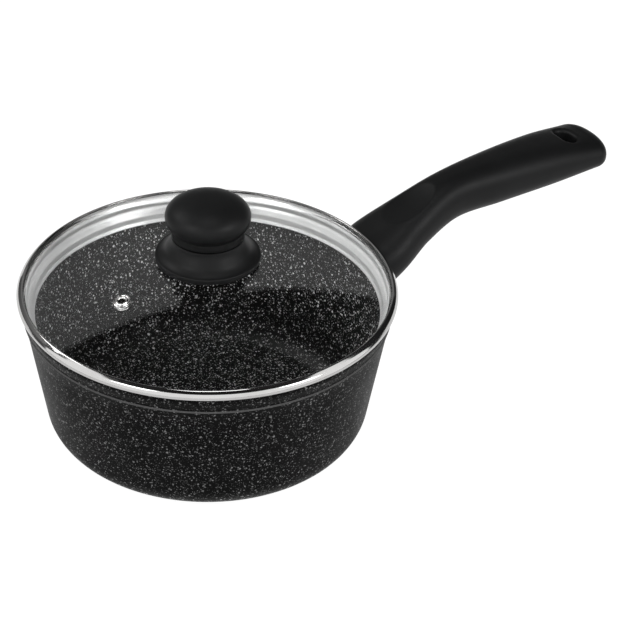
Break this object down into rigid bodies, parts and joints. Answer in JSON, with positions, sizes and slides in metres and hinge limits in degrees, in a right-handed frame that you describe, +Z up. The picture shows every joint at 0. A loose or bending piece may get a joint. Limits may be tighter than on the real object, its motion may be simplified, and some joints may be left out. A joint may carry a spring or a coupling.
{
  "type": "saucepan with glass lid",
  "caption": "Saucepan with a tapered stone-effect non-stick body, a lift-off domed glass lid with steel rim and round knob, and an arched black handle.",
  "frame": {"origin": "centre of the flat base on the pan's axis, where it stands", "axes": "+Z up along the pan's axis, +X along the handle"},
  "size_m": [0.3478, 0.1918, 0.1334],
  "materials": {
    "pan_coating": "black stone-effect non-stick, matt with white flecks",
    "plate_steel": "brushed ferritic steel",
    "bracket_steel": "pressed stainless steel",
    "stud_aluminium": "plain",
    "grip_plastic": "soft-touch black phenolic",
    "screw_steel": "zinc-plated",
    "lid_glass": "clear tempered glass",
    "rim_steel": "polished stainless steel",
    "silicone": "grey silicone",
    "eyelet_steel": "polished stainless steel",
    "knob_plastic": "soft-touch black phenolic"
  },
  "bodies": {
    "pan": {"pan_shell": "pan_coating", "induction_plate": "plate_steel", "handle_bracket": "bracket_steel", "bracket_studs": "stud_aluminium", "handle_grip": "grip_plastic", "handle_screw": "screw_steel", "handle_washer": "screw_steel"},
    "lid": {"lid_glass": "lid_glass", "lid_rim": "rim_steel", "glass_edge_seal": "silicone", "vent_eyelet": "eyelet_steel", "vent_gasket": "silicone", "vent_washer": "eyelet_steel", "knob_cap": "knob_plastic", "knob_base": "knob_plastic", "knob_insert": "screw_steel", "knob_screw": "screw_steel", "knob_washer": "screw_steel", "knob_inner_gasket": "silicone", "knob_outer_gasket": "silicone"}
  },
  "joints": [
    {"name": "lid_lift", "type": "slide", "parent": "pan", "child": "lid", "axis": [0, 0, 1], "range_m": [0, 0.12]}
  ]
}
